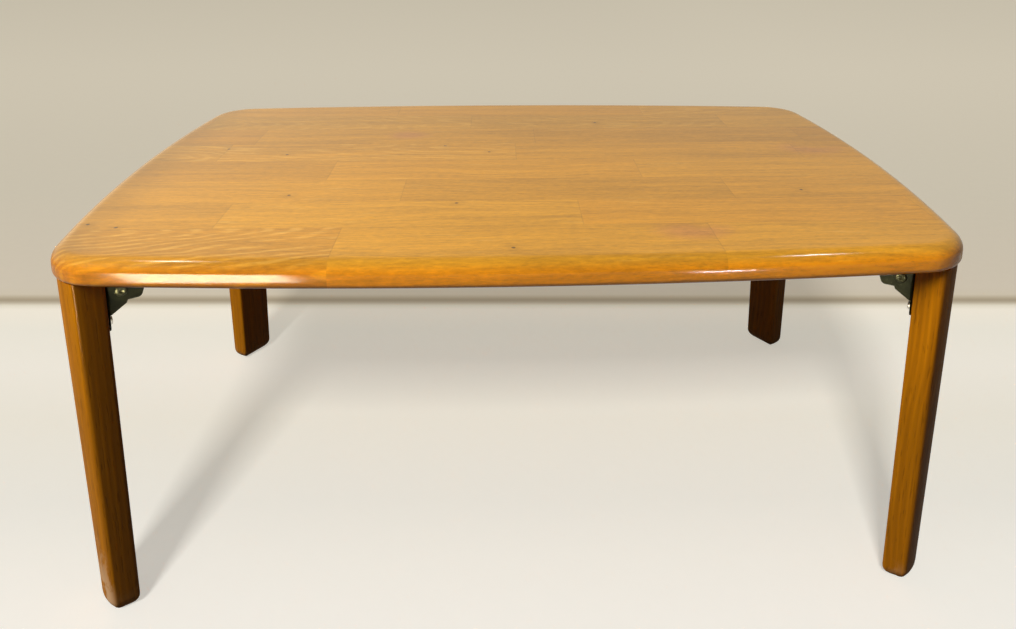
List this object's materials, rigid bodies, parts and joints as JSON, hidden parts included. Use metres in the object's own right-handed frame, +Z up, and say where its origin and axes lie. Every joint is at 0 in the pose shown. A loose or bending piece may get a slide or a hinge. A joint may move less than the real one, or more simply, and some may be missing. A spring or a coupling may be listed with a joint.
{
  "type": "folding low table",
  "caption": "Low floor table with a bowed, round-cornered wooden top on flat legs that fold in under it on latched steel brackets.",
  "frame": {"origin": "on the floor, under the middle of the top, with the legs open", "axes": "+X along the long side, +Y to the rear long side, +Z up"},
  "size_m": [0.75, 0.5, 0.319],
  "materials": {
    "lacquered_top": "amber gloss lacquer over edge-glued staves",
    "lacquered_leg": "amber gloss lacquer",
    "bracket_steel": "olive-brown passivated pressed steel",
    "rivet_steel": "bright zinc-plated steel",
    "screw_steel": "bright zinc-plated steel",
    "spring_steel": "oil-blackened spring steel"
  },
  "bodies": {
    "root": {"table_top": "lacquered_top", "top_bracket_front_left": "bracket_steel", "pivot_rivet_front_left": "bracket_steel", "top_screws_front_left": "screw_steel", "latch_rivets_front_left": "rivet_steel", "top_bracket_front_right": "bracket_steel", "pivot_rivet_front_right": "bracket_steel", "top_screws_front_right": "screw_steel", "latch_rivets_front_right": "rivet_steel", "top_bracket_rear_left": "bracket_steel", "pivot_rivet_rear_left": "bracket_steel", "top_screws_rear_left": "screw_steel", "latch_rivets_rear_left": "rivet_steel", "top_bracket_rear_right": "bracket_steel", "pivot_rivet_rear_right": "bracket_steel", "top_screws_rear_right": "screw_steel", "latch_rivets_rear_right": "rivet_steel"},
    "leg_front_left_body": {"leg_front_left": "lacquered_leg", "leg_bracket_front_left": "bracket_steel", "catch_bar_front_left": "rivet_steel", "pivot_bush_front_left": "rivet_steel", "leg_screws_front_left": "screw_steel"},
    "latch_front_left_body": {"latch_spring_front_left": "spring_steel"},
    "leg_front_right_body": {"leg_front_right": "lacquered_leg", "leg_bracket_front_right": "bracket_steel", "catch_bar_front_right": "rivet_steel", "pivot_bush_front_right": "rivet_steel", "leg_screws_front_right": "screw_steel"},
    "latch_front_right_body": {"latch_spring_front_right": "spring_steel"},
    "leg_rear_left_body": {"leg_rear_left": "lacquered_leg", "leg_bracket_rear_left": "bracket_steel", "catch_bar_rear_left": "rivet_steel", "pivot_bush_rear_left": "rivet_steel", "leg_screws_rear_left": "screw_steel"},
    "latch_rear_left_body": {"latch_spring_rear_left": "spring_steel"},
    "leg_rear_right_body": {"leg_rear_right": "lacquered_leg", "leg_bracket_rear_right": "bracket_steel", "catch_bar_rear_right": "rivet_steel", "pivot_bush_rear_right": "rivet_steel", "leg_screws_rear_right": "screw_steel"},
    "latch_rear_right_body": {"latch_spring_rear_right": "spring_steel"}
  },
  "joints": [
    {"name": "leg_fold_front_left", "type": "hinge", "parent": "root", "child": "leg_front_left_body", "pos_m": [-0.31955, -0.19273, 0.2822], "axis": [0.5299, -0.848, 0], "range_deg": [0, 90], "deforming": ["latch_spring_front_left"]},
    {"name": "leg_fold_front_right", "type": "hinge", "parent": "root", "child": "leg_front_right_body", "pos_m": [0.31955, -0.19273, 0.2822], "axis": [0.5299, 0.848, 0], "range_deg": [0, 90], "deforming": ["latch_spring_front_right"]},
    {"name": "leg_fold_rear_left", "type": "hinge", "parent": "root", "child": "leg_rear_left_body", "pos_m": [-0.31955, 0.19273, 0.2822], "axis": [-0.5299, -0.848, 0], "range_deg": [0, 90], "deforming": ["latch_spring_rear_left"]},
    {"name": "leg_fold_rear_right", "type": "hinge", "parent": "root", "child": "leg_rear_right_body", "pos_m": [0.31955, 0.19273, 0.2822], "axis": [-0.5299, 0.848, 0], "range_deg": [0, 90], "deforming": ["latch_spring_rear_right"]},
    {"name": "latch_press_front_left", "type": "hinge", "parent": "root", "child": "latch_front_left_body", "pos_m": [-0.30039, -0.18075, 0.29145], "axis": [0.5299, -0.848, 0], "range_deg": [0, 12], "stiffness_Nm_per_rad": 0.5},
    {"name": "latch_press_front_right", "type": "hinge", "parent": "root", "child": "latch_front_right_body", "pos_m": [0.30039, -0.18075, 0.29145], "axis": [0.5299, 0.848, 0], "range_deg": [0, 12], "stiffness_Nm_per_rad": 0.5},
    {"name": "latch_press_rear_left", "type": "hinge", "parent": "root", "child": "latch_rear_left_body", "pos_m": [-0.30039, 0.18075, 0.29145], "axis": [-0.5299, -0.848, 0], "range_deg": [0, 12], "stiffness_Nm_per_rad": 0.5},
    {"name": "latch_press_rear_right", "type": "hinge", "parent": "root", "child": "latch_rear_right_body", "pos_m": [0.30039, 0.18075, 0.29145], "axis": [-0.5299, 0.848, 0], "range_deg": [0, 12], "stiffness_Nm_per_rad": 0.5}
  ]
}
